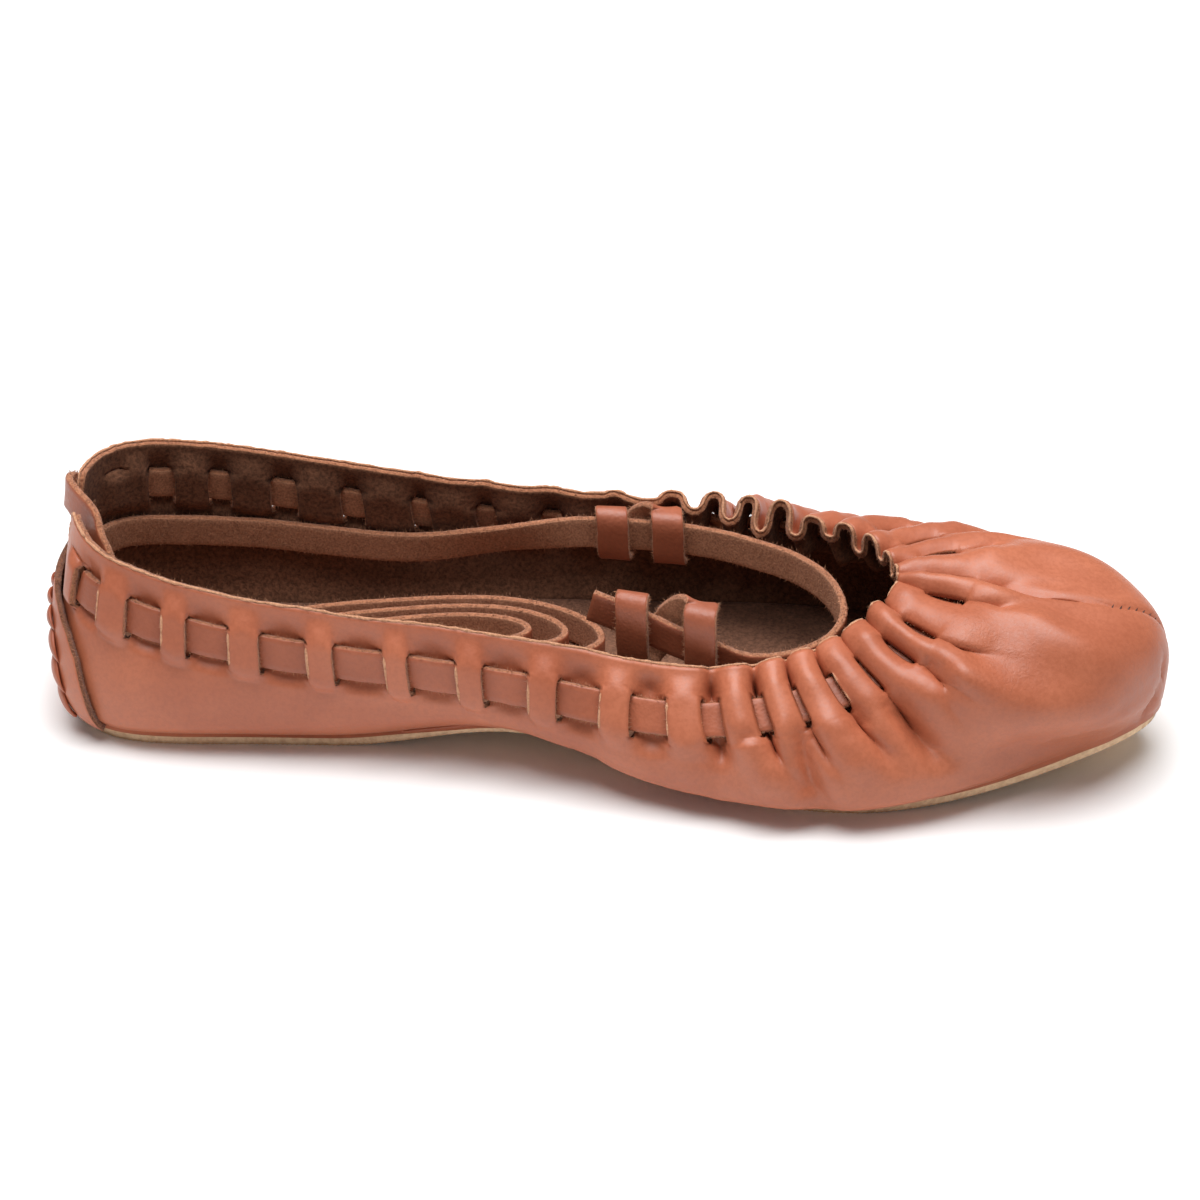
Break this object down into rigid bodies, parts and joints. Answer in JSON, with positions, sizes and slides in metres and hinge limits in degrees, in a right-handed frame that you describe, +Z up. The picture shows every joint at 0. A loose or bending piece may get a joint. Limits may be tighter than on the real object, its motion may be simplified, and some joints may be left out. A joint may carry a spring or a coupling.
{
  "type": "dance shoe",
  "caption": "Low leather slip-on dance shoe: one-piece upper gathered at the collar by a flat strap woven through slits, laced heel counter and thin flat outsole.",
  "frame": {"origin": "on the floor under the middle of the shoe's box, without the strap's loose ends", "axes": "+X from heel to toe, +Y to the outer side of the foot, +Z up from the floor"},
  "size_m": [0.2508, 0.093, 0.0523],
  "materials": {
    "upper_leather": "smooth cognac grain leather, soft sheen, darker suede flesh side inside",
    "strap_leather": "smooth cognac strap leather with fuzzy cut edges",
    "counter_leather": "smooth cognac grain leather with a raw cut edge",
    "thong_leather": "narrow leather thong, matt",
    "outsole_crepe": "matt beige crepe rubber with fine ribs",
    "insole_suede": "dark brown suede nap"
  },
  "bodies": {
    "root": {"upper": "upper_leather", "outsole": "outsole_crepe", "insole": "insole_suede", "heel_counter": "counter_leather", "counter_thong": "thong_leather", "drawstring": "strap_leather", "strap_end_front": "strap_leather", "strap_end_rear": "strap_leather", "strap_wrap_inner": "strap_leather", "strap_wrap_outer": "strap_leather"}
  },
  "joints": []
}
